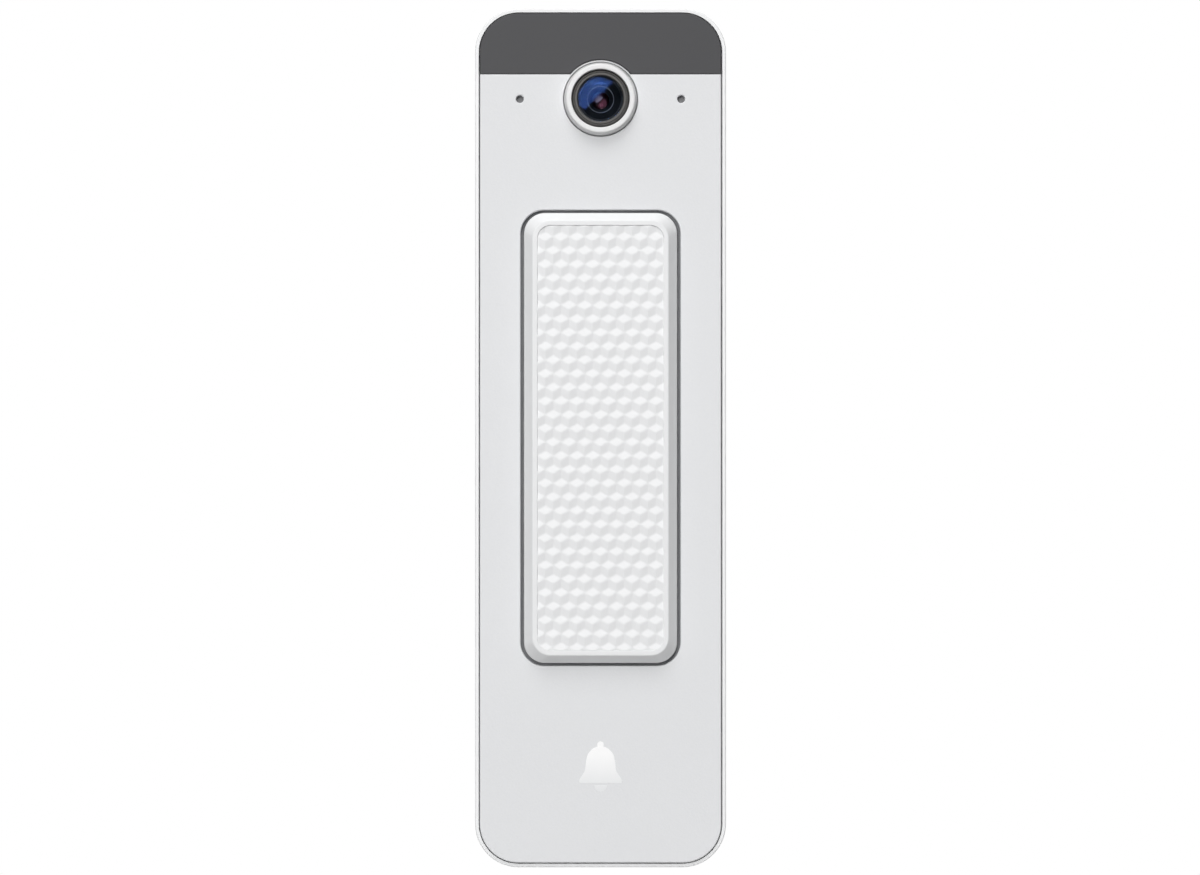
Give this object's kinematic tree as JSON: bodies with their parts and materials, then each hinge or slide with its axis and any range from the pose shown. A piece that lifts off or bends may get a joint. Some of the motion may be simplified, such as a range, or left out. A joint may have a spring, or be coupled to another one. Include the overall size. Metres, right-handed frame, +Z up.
{
  "type": "video doorbell",
  "caption": "Slim wall-mounted video doorbell: pale case, smoked top window, round camera lens, long patterned push button, and a rear bracket with hooks and a locking screw.",
  "frame": {"origin": "middle of the wall bracket's rear face, which lies on the wall", "axes": "+Z up, +X to the right of somebody facing the doorbell, -Y out of the wall towards them"},
  "size_m": [0.038, 0.0256, 0.13],
  "materials": {
    "pale_shell": "pale satin",
    "pale_face": "pale fine matte",
    "pale_button": "pale satin, patterned top",
    "smoked_window": "gloss, smoked",
    "white_trim": "white satin",
    "black_plastic": "matte black",
    "grey_plastic": "matte grey",
    "clear_diffuser": "milky",
    "lens_glass": "coated glass",
    "filter_glass": "tinted glass",
    "rubber_black": "soft black",
    "rubber_white": "soft white",
    "steel": "plated",
    "bracket_steel": "dark powder coat",
    "brass": "knurled",
    "tin_shield": "tinned",
    "circuit_board": "solder resist",
    "chip_black": "moulded",
    "copper": "enamelled",
    "gold_contact": "plated",
    "magnet": "nickel plated",
    "paper_black": "pressed fibre",
    "polyimide": "film",
    "label_grey": "film",
    "cloth_black": "woven"
  },
  "bodies": {
    "bracket": {"wall_bracket": "bracket_steel"},
    "doorbell": {"rear_housing": "pale_shell", "lock_insert": "brass", "front_cover": "pale_face", "ir_window": "smoked_window", "housing_gasket": "rubber_black", "housing_screws": "steel", "lens_trim": "white_trim", "lens_seal": "rubber_black", "lens_barrel": "black_plastic", "front_lens": "lens_glass", "inner_lenses": "lens_glass", "lens_holder": "black_plastic", "filter_tray": "black_plastic", "filter_coil": "copper", "sensor_board": "circuit_board", "image_sensor": "chip_black", "flex_cables": "polyimide", "flex_connectors": "white_trim", "front_board": "circuit_board", "infrared_lamps": "lens_glass", "light_sensor": "chip_black", "microphones": "tin_shield", "microphone_boots": "rubber_black", "light_ring": "clear_diffuser", "button_seal": "rubber_white", "button_carrier": "grey_plastic", "switch_cases": "black_plastic", "switch_domes": "steel", "ring_lamps": "clear_diffuser", "main_board": "circuit_board", "processor": "chip_black", "shield_can": "tin_shield", "transformer_core": "chip_black", "transformer_coil": "copper", "capacitors": "chip_black", "board_chips": "chip_black", "network_jack": "black_plastic", "jack_shell": "tin_shield", "jack_contacts": "gold_contact", "jack_seal": "rubber_black", "vent_membrane": "cloth_black", "blank_label": "label_grey", "inner_screws": "steel", "speaker_frame": "black_plastic", "speaker_magnet": "magnet", "speaker_cone": "paper_black", "speaker_surround": "rubber_black", "speaker_duct": "grey_plastic", "speaker_cloth": "cloth_black", "speaker_leads": "rubber_black"},
    "locking_screw": {"security_screw": "steel"},
    "button": {"button_cap": "pale_button"},
    "upper_plunger": {"upper_switch_plunger": "grey_plastic"},
    "lower_plunger": {"lower_switch_plunger": "grey_plastic"},
    "filter_slide": {"filter_carriage": "grey_plastic", "filter_panes": "filter_glass"},
    "filter_drive": {"filter_rotor": "grey_plastic"},
    "reset_pin": {"reset_button": "grey_plastic"},
    "reset_plunger": {"reset_switch_plunger": "grey_plastic"}
  },
  "joints": [
    {"name": "unit_lift", "type": "slide", "parent": "bracket", "child": "doorbell", "axis": [0, 0, 1], "range_m": [0, 0.0045]},
    {"name": "locking_screw_out", "type": "slide", "parent": "bracket", "child": "locking_screw", "axis": [0, 0, -1], "range_m": [0, 0.006]},
    {"name": "button_press", "type": "slide", "parent": "doorbell", "child": "button", "axis": [0, 1, 0], "range_m": [0, 0.0008], "stiffness_N_per_m": 2500, "springref_m": -0.0003, "deforming": ["button_seal"]},
    {"name": "upper_plunger_press", "type": "slide", "parent": "doorbell", "child": "upper_plunger", "axis": [0, 1, 0], "range_m": [0, 0.0008]},
    {"name": "lower_plunger_press", "type": "slide", "parent": "doorbell", "child": "lower_plunger", "axis": [0, 1, 0], "range_m": [0, 0.0008]},
    {"name": "filter_drive_turn", "type": "hinge", "parent": "doorbell", "child": "filter_drive", "pos_m": [0, -0.0108, 0.06038], "axis": [0, 1, 0], "range_deg": [0, 60]},
    {"name": "filter_shift", "type": "slide", "parent": "doorbell", "child": "filter_slide", "axis": [-1, 0, 0], "range_m": [0, 0.005]},
    {"name": "reset_press", "type": "slide", "parent": "doorbell", "child": "reset_pin", "axis": [0, -1, 0], "range_m": [0, 0.0004], "stiffness_N_per_m": 1500, "springref_m": -0.0002},
    {"name": "reset_plunger_press", "type": "slide", "parent": "doorbell", "child": "reset_plunger", "axis": [0, -1, 0], "range_m": [0, 0.0004]}
  ],
  "couplings": [
    {"joint": "upper_plunger_press", "follows": "button_press", "ratio": 1},
    {"joint": "lower_plunger_press", "follows": "button_press", "ratio": 1},
    {"joint": "filter_drive_turn", "follows": "filter_shift", "rad_per_m": 209.4},
    {"joint": "reset_plunger_press", "follows": "reset_press", "ratio": 1}
  ]
}
